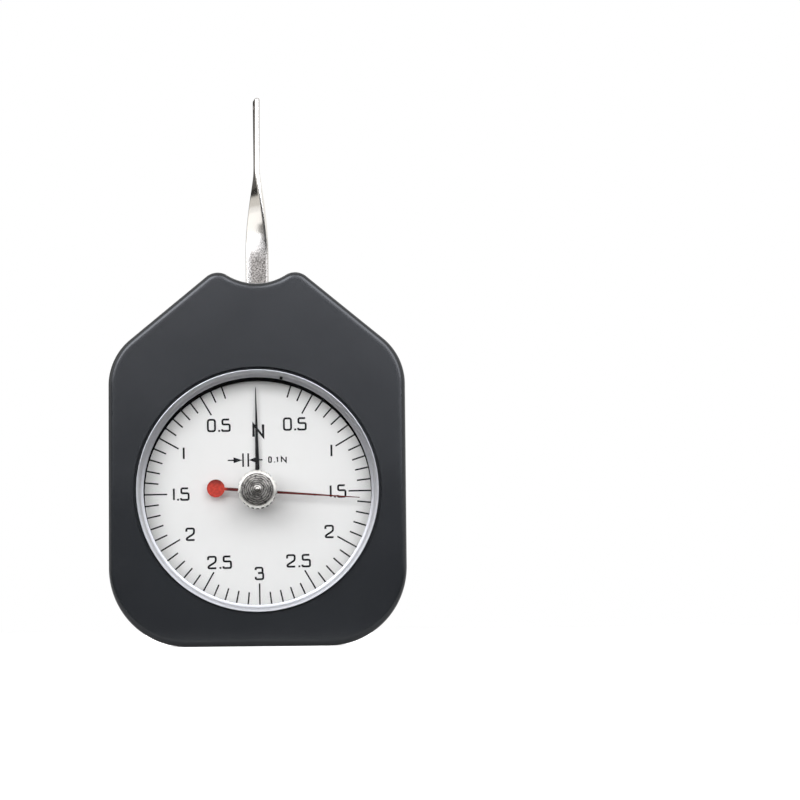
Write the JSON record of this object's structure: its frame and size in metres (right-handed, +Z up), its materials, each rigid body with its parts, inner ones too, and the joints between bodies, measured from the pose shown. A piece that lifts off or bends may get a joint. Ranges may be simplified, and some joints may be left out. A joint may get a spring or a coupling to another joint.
{
  "type": "dial tension gauge",
  "caption": "Hand-held dial tension gauge: black moulded case, round dial with needle and red drag hand, reset knob and a twisted sprung feeler lever with an eye.",
  "frame": {"origin": "middle of the flat base, in the plane where the front housing and the rear cover part", "axes": "+Z up along the lever, -Y out of the dial towards the reader, +X to the reader's right"},
  "size_m": [0.0628, 0.0308, 0.1181],
  "materials": {
    "case_plastic": "satin moulded black plastic",
    "cover_plastic": "satin moulded black plastic",
    "screw_steel": "zinc-plated steel",
    "ring_metal": "satin silver",
    "lens_clear": "polished clear acrylic",
    "brass": "machined brass",
    "spring_steel": "blued spring steel",
    "knob_metal": "nickel-plated, turned and knurled",
    "arbor_steel": "ground steel",
    "red_paint": "red lacquer",
    "dial_paint": "matt white with printed scale",
    "black_paint": "matt black lacquer",
    "lever_steel": "satin nickel-plated steel strip"
  },
  "bodies": {
    "case": {"front_housing": "case_plastic", "rear_cover": "cover_plastic", "case_screws": "screw_steel", "lens_ring": "ring_metal", "lens": "lens_clear", "lens_bush": "brass", "friction_washer": "spring_steel", "dial_plate": "dial_paint", "pointer_bushes": "brass", "front_plate": "brass", "rear_plate": "brass", "plate_pillars": "brass", "plate_screws": "screw_steel", "movement_screws": "screw_steel", "lever_bushes": "brass", "measuring_spring": "spring_steel", "spring_stud": "arbor_steel", "stop_pins": "arbor_steel"},
    "lever": {"feeler_lever": "lever_steel", "lever_hub": "brass", "lever_arbor": "arbor_steel", "lever_screws": "screw_steel", "sector_gear": "brass", "spring_collet": "brass"},
    "needle": {"pointer": "black_paint", "pointer_hub": "brass", "pointer_arbor": "arbor_steel", "pinion": "brass"},
    "reset": {"reset_knob": "knob_metal", "reset_shaft": "arbor_steel", "drag_collet": "brass", "drag_pointer": "red_paint"}
  },
  "joints": [
    {"name": "lever_swing", "type": "hinge", "parent": "case", "child": "lever", "pos_m": [0, 0, 0.0599], "axis": [0, 1, 0], "range_deg": [-15, 15], "stiffness_Nm_per_rad": 0.665},
    {"name": "pointer_turn", "type": "hinge", "parent": "case", "child": "needle", "pos_m": [0, 0, 0.0326], "axis": [0, 1, 0], "continuous": true},
    {"name": "reset_turn", "type": "hinge", "parent": "case", "child": "reset", "pos_m": [0, 0, 0.0326], "axis": [0, 1, 0], "range_deg": [-89, 261]}
  ],
  "couplings": [
    {"joint": "pointer_turn", "follows": "lever_swing", "ratio": -12}
  ]
}
